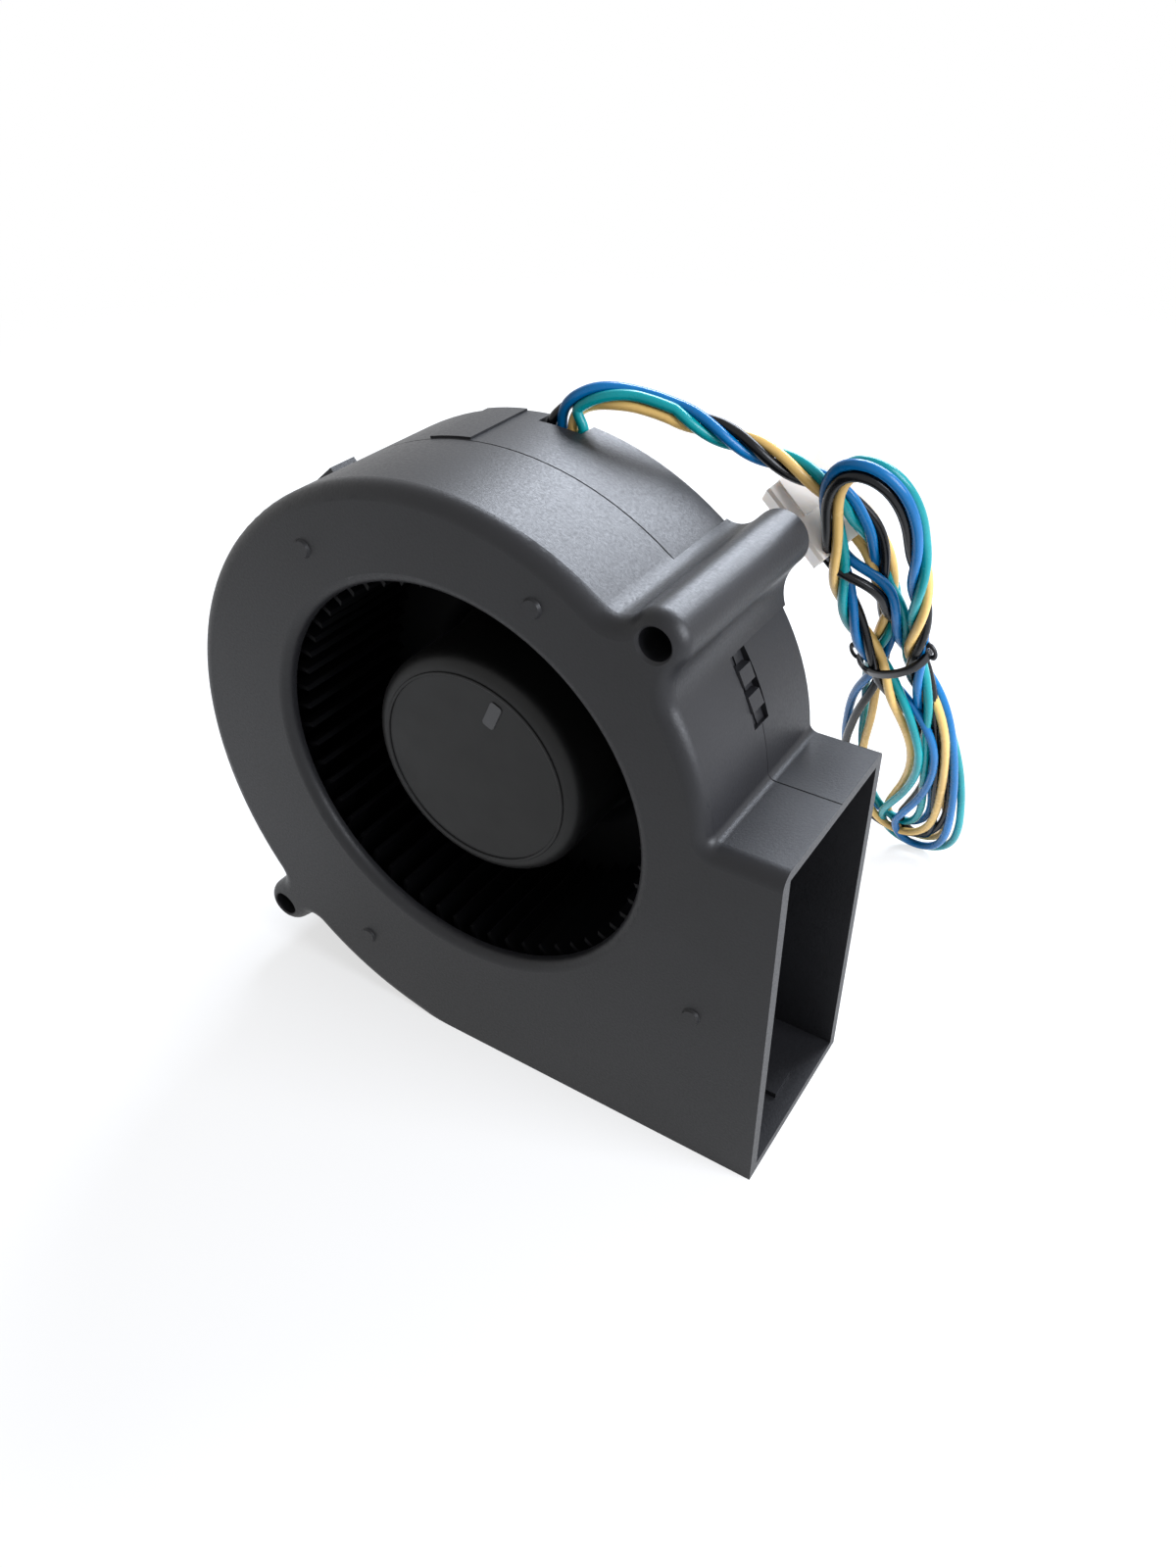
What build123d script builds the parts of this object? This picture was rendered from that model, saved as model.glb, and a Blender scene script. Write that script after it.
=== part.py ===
from build123d import *

import os
from math import asin, atan2, cos, degrees, hypot, pi, radians, sin, sqrt, tan

# Centrifugal DC blower: a scroll housing in two halves, a forward-curved impeller on an
# external-rotor motor, and a four-wire lead folded into a tied hank behind it.
#
# Frame: X towards the outlet, Z up, Y from the front face into the depth. The origin is the
# impeller's axis at the front face, and the blower stands on the flat side of its scroll.

# Housing, all in millimetres
HOUSING_DEPTH = 30.2
SEAM_DEPTH = 16.5
FACE_THICKNESS = 2.0
BACK_THICKNESS = 1.8
WALL = 1.6
FRONT_ROUNDING = 2.2
BACK_ROUNDING = 0.8
SEAM_GROOVE = 0.25
SEAM_GAP = 0.1

# Scroll outline, seen from the front: tangent arcs that open from the tongue round to the foot
BASE_Z = -50.7
OUTLET_X = 49.2
OUTLET_TOP_Z = 6.5
BACK_ARC_CENTRE = (0.1, -5.7)
BACK_ARC_RADIUS = 48.3
TOP_ARC_RADIUS = 42.7
TOP_ARC_END = 110.0
FOOT_ARC_RADIUS = 44.3
FOOT_ARC_START = 212.5
TONGUE_ARC_RADIUS = 36.0
TONGUE_ARC_START = 42.0
STEP_FILLET = 1.2
OPEN_END = 1.0

# Inlet
THROAT_RADIUS = 29.6
LIP_ROUNDING = 1.6

# Mounting bosses, a tube each side of the scroll: how far each axis lies outside the wall
UPPER_BOSS_RISE = 3.45
UPPER_BOSS_ANGLE = 44.2
LOWER_BOSS_RISE = 5.3
LOWER_BOSS_ANGLE = 221.8
BOSS_RADIUS = 3.8
BOSS_TAIL = 1.8
MOUNT_HOLE_RADIUS = 2.1
HOLE_CHAMFER = 0.35
UPPER_BOSS_FILLETS = (3.5, 6.0)
LUG_LENGTH = 9.0
LUG_FILLET = 2.5

# Low round pads on the face
PAD_PLACES = ((-20.7, 30.3), (15.3, 31.8), (38.4, -22.7), (-20.6, -38.0))
PAD_RADIUS = 1.35
PAD_HEIGHT = 0.4

# Impeller
BLADE_COUNT = 55
BLADE_INNER_RADIUS = 28.2
BLADE_OUTER_RADIUS = 36.0
BLADE_THICKNESS = 0.75
BLADE_SWEEP = 9.0
BLADE_BOW = 1.3
BLADE_CLEARANCE = 1.0
SHROUD_WIDTH = 1.3
SHROUD_DEPTH = 1.8
HUB_RADIUS = 17.5
HUB_WALL = 1.15
HUB_FRONT = 5.1
HUB_CAP_THICKNESS = 1.5
HUB_EDGE_ROUNDING = 2.3
HUB_RING_HEIGHT = 0.25
HUB_RING_WIDTH = 0.5
HUB_FLARE = 3.5
DISC_CLEARANCE = 2.8
DISC_THICKNESS = 1.3
BALANCE_SPOT = (4.25, 10.45)
BALANCE_SPOT_SIZE = (4.3, 1.9)
BALANCE_SPOT_TURN = 64.5
BALANCE_SPOT_HEIGHT = 0.15

# Rotor: steel yoke, ring magnet, brass bush and shaft
FIT_GAP = 0.03
YOKE_THICKNESS = 1.0
YOKE_CLEARANCE = 0.8
MAGNET_THICKNESS = 2.0
MAGNET_SET_BACK = 1.6
MAGNET_CUT_SHORT = 0.6
BUSH_RADIUS = 3.0
BUSH_LENGTH = 3.4
SHAFT_RADIUS = 1.5
SHAFT_SET_BACK = 0.6
SHAFT_CLEARANCE = 1.1

# Bearing
RUNNING_GAP = 0.03
TUBE_INNER_RADIUS = 4.0
TUBE_WALL = 1.0
TUBE_CLEARANCE = 1.0
SLEEVE_SET_BACK = 1.0
SLEEVE_CLEARANCE = 0.6
CLIP_FROM_END = 2.3
CLIP_THICKNESS = 0.4
CLIP_RADIUS = 2.9
CLIP_MOUTH = 2.0
CLIP_GROOVE_RADIUS = 1.2
THRUST_GAP = 0.05
OIL_RING_THICKNESS = 0.7
OIL_RING_GAP = 0.3

# Stator
POLE_COUNT = 4
STATOR_RADIUS = 12.5
STATOR_HUB_RADIUS = 7.0
STATOR_SET_BACK = 5.0
STATOR_STANDOFF = 3.8
TOOTH_WIDTH = 3.4
SHOE_THICKNESS = 1.6
SHOE_GAP = 1.8
INSULATOR_THICKNESS = 0.9
COIL_BUILD = 1.9
COIL_HEAD = 1.5
COIL_GAP = 0.1

# Circuit board and what is soldered to it
BOARD_CLEARANCE = 4.8
BOARD_THICKNESS = 1.2
BOARD_RADIUS = 15.4
BOARD_HOLE_GAP = 0.2
SEAT_RING_OUTER = 15.2
SEAT_RING_INNER = 13.6
HALL_RADIUS = 13.4
HALL_ANGLE = 225.0
HALL_SIZE = (1.6, 3.0)
HALL_GAP = 0.3
CHIP_SIZE = (5.0, 4.0, 1.3)
CHIP_PLACE = (-8.2, -2.5)
SMALL_PARTS = ((7.6, -4.6), (7.6, -1.8), (7.6, 1.0), (-1.8, -8.8), (1.4, -8.8))
SMALL_PART_SIZE = (2.0, 1.25, 0.7)
SOLDER_HEIGHT = 0.9

# Lead wires in the channel on the back
WIRE_DIAMETER = 1.55
WIRE_COUNT = 4
WIRE_PITCH = 1.65
WIRE_BEND = 1.6
WIRE_START_Z = 10.2
LEAD_X = 1.5
CHANNEL_CLEARANCE = 0.1
CHANNEL_DEPTH = 2.6
CHANNEL_WALL = 1.0
RETAINER_WIDTH = 2.6
RETAINER_THICKNESS = 0.5
RETAINER_PLACES = (21.0, 32.0)
BACK_RECESS_RADIUS = 22.0
BACK_RECESS_DEPTH = 0.4

# Snap latches at the seam: angles about the axis, seen from the front
LATCH_WINDOW_ANGLE = 24.8
LATCH_WINDOW = (9.8, 3.8)
LATCH_WINDOW_DEPTH = 1.2
LATCH_TAB_ANGLES = (129.0, 205.0)
LATCH_TAB = (5.0, 4.8, 1.1)
LATCH_TAB_HOLE = (3.6, 1.8)
LATCH_TAB_REACH = 0.9
LATCH_HOOK_GAP = 0.2
FLOOR_LAP = (5.2, 5.2, 0.9)
FLOOR_LAP_X = 43.9
TOP_PAD_ANGLES = (95.0, 104.0)
TOP_PAD_HEIGHT = 0.3
TOP_PAD_FRONT = 17.0

# Free lead: the bundle of twisted wires, its hank, the tie and the connector
LEAD_DIAMETER = 3.75
LEAD_ROUTE = (
    (1.5, 28.7, 41.4),
    (1.5, 28.7, 43.1),
    (2.8, 29.2, 44.9),
    (6.0, 30.4, 46.0),
    (11.5, 32.5, 45.4),
    (18.0, 35.0, 42.8),
    (25.0, 38.0, 39.7),
    (31.0, 40.2, 37.0),
    (35.0, 41.6, 34.6),
)
HANK_TOP = (39.2, 39.0, 40.0)
HANK_LEAN = 26.7
# Waist and stations: distance down the hank, sideways place, width, thickness
HANK_WAIST = (38.0, 2.0, 12.0, 8.6)
HANK_STATIONS = (
    (-2.4, -0.2, 6.0, 3.4),
    (3.0, 0.0, 11.5, 4.6),
    (10.0, 0.3, 13.6, 5.4),
    (24.0, 1.2, 13.8, 7.2),
    HANK_WAIST,
    (54.0, 2.4, 16.5, 8.6),
    (72.0, 2.9, 21.0, 8.0),
    (90.0, 3.3, 15.5, 6.4),
    (100.4, 2.8, 7.0, 3.6),
)
TIE_CLEARANCE = 0.3
TIE_WIDTH = 2.6
TIE_THICKNESS = 0.7
TIE_TAIL = 4.0
TIE_TAIL_RISE = 0.5
CONNECTOR_CENTRE = (29.9, 48.2, 29.5)
CONNECTOR_FACING = (0.437, -0.671, 0.599)
CONNECTOR_ACROSS = (0.484, 0.737, 0.472)
CONNECTOR_SIZE = (10.6, 12.2, 5.6)
CONNECTOR_PITCH = 2.54
CONTACT_CAVITY = (1.9, 2.3)
CONTACT_RAIL = (7.0, 6.0, 0.9)
CONTACT_SIZE = (1.6, 7.0, 1.9)
CONTACT_REACH = 1.5
CONNECTOR_SEAT_GAP = 0.4
CONNECTOR_WIRE = 2.4

# A straight line's angle, and the distance within which an edge counts as lying on a plane
HALF_TURN = 180
EDGE_TEST = 0.1


# Sizes that follow from the ones above
back_inside = HOUSING_DEPTH - BACK_THICKNESS
top_arc_centre = (
    BACK_ARC_CENTRE[0] + (BACK_ARC_RADIUS - TOP_ARC_RADIUS) * cos(radians(TOP_ARC_END)),
    BACK_ARC_CENTRE[1] + (BACK_ARC_RADIUS - TOP_ARC_RADIUS) * sin(radians(TOP_ARC_END)),
)
tongue_arc_centre = (
    top_arc_centre[0] + (TOP_ARC_RADIUS - TONGUE_ARC_RADIUS) * cos(radians(TONGUE_ARC_START)),
    top_arc_centre[1] + (TOP_ARC_RADIUS - TONGUE_ARC_RADIUS) * sin(radians(TONGUE_ARC_START)),
)
foot_arc_centre = (
    BACK_ARC_CENTRE[0] + (BACK_ARC_RADIUS - FOOT_ARC_RADIUS) * cos(radians(FOOT_ARC_START)),
    BACK_ARC_CENTRE[1] + (BACK_ARC_RADIUS - FOOT_ARC_RADIUS) * sin(radians(FOOT_ARC_START)),
)
upper_boss = (
    top_arc_centre[0] + (TOP_ARC_RADIUS + UPPER_BOSS_RISE) * cos(radians(UPPER_BOSS_ANGLE)),
    top_arc_centre[1] + (TOP_ARC_RADIUS + UPPER_BOSS_RISE) * sin(radians(UPPER_BOSS_ANGLE)),
)
lower_boss = (
    foot_arc_centre[0] + (FOOT_ARC_RADIUS + LOWER_BOSS_RISE) * cos(radians(LOWER_BOSS_ANGLE)),
    foot_arc_centre[1] + (FOOT_ARC_RADIUS + LOWER_BOSS_RISE) * sin(radians(LOWER_BOSS_ANGLE)),
)
boss_length = HOUSING_DEPTH + BOSS_TAIL
tab_hole_depth = SEAM_DEPTH + LATCH_TAB_HOLE[1] / 2 + LATCH_HOOK_GAP
yoke_radius = HUB_RADIUS - HUB_WALL - FIT_GAP
yoke_front = HUB_FRONT + HUB_CAP_THICKNESS
magnet_radius = yoke_radius - YOKE_THICKNESS - FIT_GAP
tube_radius = TUBE_INNER_RADIUS + TUBE_WALL
blade_front = FACE_THICKNESS + BLADE_CLEARANCE
disc_back = back_inside - DISC_CLEARANCE
board_back = back_inside - BOARD_CLEARANCE
board_front = board_back - BOARD_THICKNESS
yoke_end = board_front - YOKE_CLEARANCE
magnet_front = yoke_front + YOKE_THICKNESS + MAGNET_SET_BACK
magnet_end = yoke_end - MAGNET_CUT_SHORT
bush_end = yoke_front + BUSH_LENGTH
shaft_front = yoke_front + SHAFT_SET_BACK
shaft_end = back_inside - SHAFT_CLEARANCE
tube_front = bush_end + TUBE_CLEARANCE
sleeve_front = tube_front + SLEEVE_SET_BACK
clip_depth = shaft_end - CLIP_FROM_END
sleeve_end = clip_depth - SLEEVE_CLEARANCE
stator_front = yoke_front + YOKE_THICKNESS + STATOR_SET_BACK
stator_end = board_front - STATOR_STANDOFF
channel_floor = HOUSING_DEPTH - CHANNEL_DEPTH
channel_width = WIRE_PITCH * (WIRE_COUNT - 1) + WIRE_DIAMETER + 2 * CHANNEL_CLEARANCE
wire_depth = channel_floor + WIRE_DIAMETER / 2 + CHANNEL_CLEARANCE
wire_places = [LEAD_X + WIRE_PITCH * (i - (WIRE_COUNT - 1) / 2) for i in range(WIRE_COUNT)]


def at_depth(depth):
    """The plane parallel to the front face, that far behind it, seen from the front."""
    return Plane.XZ.offset(-depth)


def polar(centre, radius, angle):
    """The point at a radius and an angle in degrees about a centre."""
    return (
        centre[0] + radius * cos(radians(angle)),
        centre[1] + radius * sin(radians(angle)),
    )


def scroll_profile(inset=0.0, reach=0.0):
    """The scroll with its outlet duct, drawn that far inside the outer surface.

    The duct's end stays on the outlet plane, or reaches past it.
    """
    roof_z = OUTLET_TOP_Z - inset
    end_x = OUTLET_X + reach
    tongue_radius = TONGUE_ARC_RADIUS - inset
    tongue_angle = degrees(asin((roof_z - tongue_arc_centre[1]) / tongue_radius))
    foot_radius = FOOT_ARC_RADIUS - inset
    foot_angle = HALF_TURN + degrees(asin((foot_arc_centre[1] - BASE_Z - inset) / foot_radius))
    with BuildSketch() as profile:
        with BuildLine():
            CenterArc(
                tongue_arc_centre, tongue_radius, tongue_angle, TONGUE_ARC_START - tongue_angle
            )
            CenterArc(
                top_arc_centre,
                TOP_ARC_RADIUS - inset,
                TONGUE_ARC_START,
                TOP_ARC_END - TONGUE_ARC_START,
            )
            CenterArc(
                BACK_ARC_CENTRE,
                BACK_ARC_RADIUS - inset,
                TOP_ARC_END,
                FOOT_ARC_START - TOP_ARC_END,
            )
            CenterArc(foot_arc_centre, foot_radius, FOOT_ARC_START, foot_angle - FOOT_ARC_START)
            Polyline(
                polar(foot_arc_centre, foot_radius, foot_angle),
                (end_x, BASE_Z + inset),
                (end_x, roof_z),
                polar(tongue_arc_centre, tongue_radius, tongue_angle),
            )
        make_face()
        step = profile.vertices().sort_by_distance(
            (*polar(tongue_arc_centre, tongue_radius, tongue_angle), 0)
        )[0]
        fillet(step, STEP_FILLET + inset)
    return profile.sketch


def front_profile():
    """The front half's outline: the scroll, its two boss tubes and the webs that carry them."""
    lug_angle = degrees(
        atan2(foot_arc_centre[1] - lower_boss[1], foot_arc_centre[0] - lower_boss[0])
    )
    with BuildSketch() as profile:
        add(scroll_profile())
        with Locations(upper_boss, lower_boss):
            Circle(BOSS_RADIUS)
        with Locations(Location((*lower_boss, 0), (0, 0, lug_angle))):
            Rectangle(LUG_LENGTH, 2 * BOSS_RADIUS, align=(Align.MIN, Align.CENTER))
    return profile.sketch


def latch_plane(angle, depth, inward=0.0):
    """A plane on the housing's outer wall, facing outward, its Y across the seam."""
    if angle < TONGUE_ARC_START:
        centre, radius = tongue_arc_centre, TONGUE_ARC_RADIUS
    elif angle < TOP_ARC_END:
        centre, radius = top_arc_centre, TOP_ARC_RADIUS
    else:
        centre, radius = BACK_ARC_CENTRE, BACK_ARC_RADIUS
    place = polar(centre, radius - inward, angle)
    return Plane(
        origin=(place[0], depth, place[1]),
        x_dir=(-sin(radians(angle)), 0, cos(radians(angle))),
        z_dir=(cos(radians(angle)), 0, sin(radians(angle))),
    )


def ring(outer, inner, front, back):
    """A plain ring about the axis, between two depths."""
    with BuildPart() as made:
        with BuildSketch(at_depth(front)):
            Circle(outer)
            Circle(inner, mode=Mode.SUBTRACT)
        extrude(amount=front - back)
    return made.part


# Front cover: the face with its inlet, half the wall, and both boss tubes at full length
with BuildPart() as front_cover:
    with BuildSketch(at_depth(0)):
        add(front_profile())
    extrude(amount=-HOUSING_DEPTH)
    corners = front_cover.edges().filter_by(Axis.Y)
    upper_roots = corners.filter_by(
        lambda e: abs(hypot(e.center().X - upper_boss[0], e.center().Z - upper_boss[1]) - BOSS_RADIUS)
        < 0.01
    )
    for root, radius in zip(upper_roots.sort_by(Axis.X), UPPER_BOSS_FILLETS):
        fillet(root, radius)
    lug_roots = front_cover.edges().filter_by(Axis.Y).filter_by(
        lambda e: hypot(e.center().X - lower_boss[0], e.center().Z - lower_boss[1]) < LUG_LENGTH
        and hypot(e.center().X - foot_arc_centre[0], e.center().Z - foot_arc_centre[1])
        > FOOT_ARC_RADIUS - 0.01
    )
    fillet(lug_roots, LUG_FILLET)
    with BuildSketch(at_depth(SEAM_DEPTH)):
        add(scroll_profile(-SEAM_GAP))
    extrude(amount=SEAM_DEPTH - HOUSING_DEPTH, mode=Mode.SUBTRACT)
    face_edges = front_cover.faces().sort_by(Axis.Y)[0].outer_wire().edges()
    fillet(
        face_edges.filter_by(
            lambda e: e.center().X < OUTLET_X - EDGE_TEST and e.center().Z > BASE_Z + EDGE_TEST
        ),
        FRONT_ROUNDING,
    )
    with BuildSketch(at_depth(HOUSING_DEPTH)):
        with Locations(upper_boss, lower_boss):
            Circle(BOSS_RADIUS)
    extrude(amount=HOUSING_DEPTH - boss_length)
    with BuildSketch(at_depth(FACE_THICKNESS)):
        add(scroll_profile(WALL, OPEN_END))
    extrude(amount=FACE_THICKNESS - SEAM_DEPTH, mode=Mode.SUBTRACT)
    with BuildSketch(at_depth(0)):
        Circle(THROAT_RADIUS)
    extrude(amount=-FACE_THICKNESS, mode=Mode.SUBTRACT)
    lip = front_cover.faces().sort_by(Axis.Y)[0].inner_wires()[0].edges()
    fillet(lip, LIP_ROUNDING)
    with BuildSketch(at_depth(0)):
        with Locations(upper_boss, lower_boss):
            Circle(MOUNT_HOLE_RADIUS)
    extrude(amount=-boss_length, mode=Mode.SUBTRACT)
    for hole_end, into in ((0, -HOLE_CHAMFER), (boss_length, HOLE_CHAMFER)):
        with BuildSketch(at_depth(hole_end)):
            with Locations(upper_boss, lower_boss):
                Circle(MOUNT_HOLE_RADIUS + HOLE_CHAMFER)
        extrude(amount=into, taper=45, mode=Mode.SUBTRACT)
    with BuildSketch(at_depth(0)):
        with Locations(*PAD_PLACES):
            Circle(PAD_RADIUS)
    extrude(amount=PAD_HEIGHT, taper=30)
    with BuildSketch(latch_plane(LATCH_WINDOW_ANGLE, SEAM_DEPTH)):
        Rectangle(LATCH_WINDOW[0], LATCH_WINDOW[1])
    extrude(amount=-LATCH_WINDOW_DEPTH, mode=Mode.SUBTRACT)
    for angle in LATCH_TAB_ANGLES:
        with BuildSketch(latch_plane(angle, SEAM_DEPTH + LATCH_TAB_REACH, WALL / 2)):
            Rectangle(LATCH_TAB[0], LATCH_TAB[1])
        extrude(amount=WALL / 2 + LATCH_TAB[2])
    # what the tabs and the window leave behind the seam is cut back to clear the rear half
    with BuildSketch(at_depth(SEAM_DEPTH)):
        add(scroll_profile(-SEAM_GAP))
    extrude(amount=SEAM_DEPTH - HOUSING_DEPTH, mode=Mode.SUBTRACT)
    with BuildSketch(at_depth(FACE_THICKNESS)):
        add(scroll_profile(WALL, OPEN_END))
    extrude(amount=FACE_THICKNESS - SEAM_DEPTH, mode=Mode.SUBTRACT)
    for angle in LATCH_TAB_ANGLES:
        with BuildSketch(latch_plane(angle, tab_hole_depth)):
            Rectangle(*LATCH_TAB_HOLE)
        extrude(amount=2 * LATCH_TAB[2], mode=Mode.SUBTRACT)
    with BuildSketch(Plane.XY.offset(BASE_Z + WALL)):
        with Locations((FLOOR_LAP_X, SEAM_DEPTH)):
            Rectangle(FLOOR_LAP[0], FLOOR_LAP[1])
    extrude(amount=FLOOR_LAP[2])
    with BuildSketch(Plane.XY.offset(BASE_Z + WALL)):
        with Locations((FLOOR_LAP_X, SEAM_DEPTH)):
            Rectangle(FLOOR_LAP[0] + 1, FLOOR_LAP[1] / 2, align=(Align.CENTER, Align.MIN))
    extrude(amount=SEAM_GAP, mode=Mode.SUBTRACT)
front_cover.part.label = "front_cover"

# Rear housing: the other half of the wall, the back plate, the board's seat and the channel
with BuildPart() as rear_housing:
    with BuildSketch(at_depth(SEAM_DEPTH)):
        add(scroll_profile())
    extrude(amount=SEAM_DEPTH - HOUSING_DEPTH)
    back_edges = rear_housing.faces().sort_by(Axis.Y)[-1].outer_wire().edges()
    fillet(
        back_edges.filter_by(
            lambda e: e.center().X < OUTLET_X - EDGE_TEST and e.center().Z > BASE_Z + EDGE_TEST
        ),
        BACK_ROUNDING,
    )
    seam_edges = rear_housing.faces().sort_by(Axis.Y)[0].outer_wire().edges()
    chamfer(seam_edges.filter_by(lambda e: e.center().X < OUTLET_X - EDGE_TEST), SEAM_GROOVE)
    with BuildSketch(at_depth(SEAM_DEPTH)):
        add(scroll_profile(WALL, OPEN_END))
    extrude(amount=SEAM_DEPTH - back_inside, mode=Mode.SUBTRACT)
    # seat ring for the circuit board
    with BuildSketch(at_depth(board_back)):
        Circle(SEAT_RING_OUTER)
        Circle(SEAT_RING_INNER, mode=Mode.SUBTRACT)
    extrude(amount=board_back - back_inside)
    # channel for the lead wires, a rib on the inside and a groove on the outside
    channel_top = top_arc_centre[1] + TOP_ARC_RADIUS - WALL
    channel_bottom = WIRE_START_Z - WIRE_DIAMETER / 2 - CHANNEL_CLEARANCE
    with BuildSketch(at_depth(channel_floor - CHANNEL_WALL)):
        with Locations((LEAD_X, SEAT_RING_INNER)):
            Rectangle(
                channel_width + 2 * CHANNEL_WALL,
                channel_top - SEAT_RING_INNER,
                align=(Align.CENTER, Align.MIN),
            )
    extrude(amount=channel_floor - CHANNEL_WALL - back_inside)
    with BuildSketch(at_depth(channel_floor)):
        with Locations((LEAD_X, channel_bottom)):
            Rectangle(channel_width, HOUSING_DEPTH + channel_top, align=(Align.CENTER, Align.MIN))
    extrude(amount=channel_floor - HOUSING_DEPTH, mode=Mode.SUBTRACT)
    # notch in the top wall, wide and deep enough for the twisted bundle
    with BuildSketch(at_depth(channel_floor - CHANNEL_WALL)):
        with Locations((LEAD_X, channel_top)):
            Rectangle(channel_width, 3 * WALL, align=(Align.CENTER, Align.MIN))
    extrude(amount=channel_floor - CHANNEL_WALL - HOUSING_DEPTH, mode=Mode.SUBTRACT)
    # retainers that bridge half the groove
    with BuildSketch(at_depth(HOUSING_DEPTH - RETAINER_THICKNESS)):
        for place, side in zip(RETAINER_PLACES, (-1, 1)):
            with Locations((LEAD_X + side * channel_width / 4, place)):
                Rectangle(channel_width / 2, RETAINER_WIDTH)
    extrude(amount=-RETAINER_THICKNESS)
    # shallow round recess on the outside of the back
    with BuildSketch(at_depth(HOUSING_DEPTH)):
        Circle(BACK_RECESS_RADIUS)
        with Locations((LEAD_X, channel_bottom - CHANNEL_WALL)):
            Rectangle(
                channel_width + 2 * CHANNEL_WALL,
                BACK_RECESS_RADIUS,
                align=(Align.CENTER, Align.MIN),
                mode=Mode.SUBTRACT,
            )
    extrude(amount=BACK_RECESS_DEPTH, mode=Mode.SUBTRACT)
    # thin pad on the top wall beside the notch
    with BuildSketch(at_depth(TOP_PAD_FRONT)):
        with BuildLine():
            for radius in (TOP_ARC_RADIUS - WALL / 2, TOP_ARC_RADIUS + TOP_PAD_HEIGHT):
                CenterArc(
                    top_arc_centre,
                    radius,
                    TOP_PAD_ANGLES[0],
                    TOP_PAD_ANGLES[1] - TOP_PAD_ANGLES[0],
                )
            for angle in TOP_PAD_ANGLES:
                Line(
                    polar(top_arc_centre, TOP_ARC_RADIUS - WALL / 2, angle),
                    polar(top_arc_centre, TOP_ARC_RADIUS + TOP_PAD_HEIGHT, angle),
                )
        make_face()
    extrude(amount=TOP_PAD_FRONT - HOUSING_DEPTH + BACK_ROUNDING)
    # latch window and the hooks in it
    with BuildSketch(latch_plane(LATCH_WINDOW_ANGLE, SEAM_DEPTH)):
        Rectangle(LATCH_WINDOW[0], LATCH_WINDOW[1])
    extrude(amount=LATCH_HOOK_GAP - LATCH_WINDOW_DEPTH, mode=Mode.SUBTRACT)
    hook_plane = latch_plane(LATCH_WINDOW_ANGLE, SEAM_DEPTH, LATCH_WINDOW_DEPTH - LATCH_HOOK_GAP)
    hook_pitch = LATCH_WINDOW[0] / 3
    with BuildSketch(hook_plane):
        with Locations((-hook_pitch / 2, LATCH_HOOK_GAP), (hook_pitch / 2 + 0.3, LATCH_HOOK_GAP)):
            Rectangle(hook_pitch * 0.8, LATCH_WINDOW[1] - 2 * LATCH_HOOK_GAP)
    extrude(amount=LATCH_WINDOW_DEPTH, taper=12)
    # hooks that snap into the two proud tabs of the cover
    for angle in LATCH_TAB_ANGLES:
        hook_size = (LATCH_TAB_HOLE[0] - 2 * LATCH_HOOK_GAP, LATCH_TAB_HOLE[1] - 2 * LATCH_HOOK_GAP)
        with BuildSketch(latch_plane(angle, tab_hole_depth, WALL / 2)):
            Rectangle(hook_size[0], hook_size[1])
        extrude(amount=WALL / 2 + LATCH_TAB[2] * 0.9)
rear_housing.part.label = "rear_housing"

# Impeller: hub, flare and disc turned in one profile, radius along X and depth along Y
disc_front = disc_back - DISC_THICKNESS
hub_bore = HUB_RADIUS - HUB_WALL
with BuildSketch() as blade:
    blade_root = (BLADE_INNER_RADIUS, 0)
    blade_tip = polar((0, 0), BLADE_OUTER_RADIUS - BLADE_THICKNESS / 2, BLADE_SWEEP)
    chord = (blade_tip[0] - blade_root[0], blade_tip[1] - blade_root[1])
    across = (chord[1] / hypot(*chord), -chord[0] / hypot(*chord))
    with BuildLine():
        for side in (0, BLADE_THICKNESS):
            ThreePointArc(
                (blade_root[0] + across[0] * side, blade_root[1] + across[1] * side),
                (
                    blade_root[0] + chord[0] / 2 + across[0] * (BLADE_BOW + side),
                    blade_root[1] + chord[1] / 2 + across[1] * (BLADE_BOW + side),
                ),
                (blade_tip[0] + across[0] * side, blade_tip[1] + across[1] * side),
            )
        for end in (blade_root, blade_tip):
            Line(end, (end[0] + across[0] * BLADE_THICKNESS, end[1] + across[1] * BLADE_THICKNESS))
    make_face()
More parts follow.
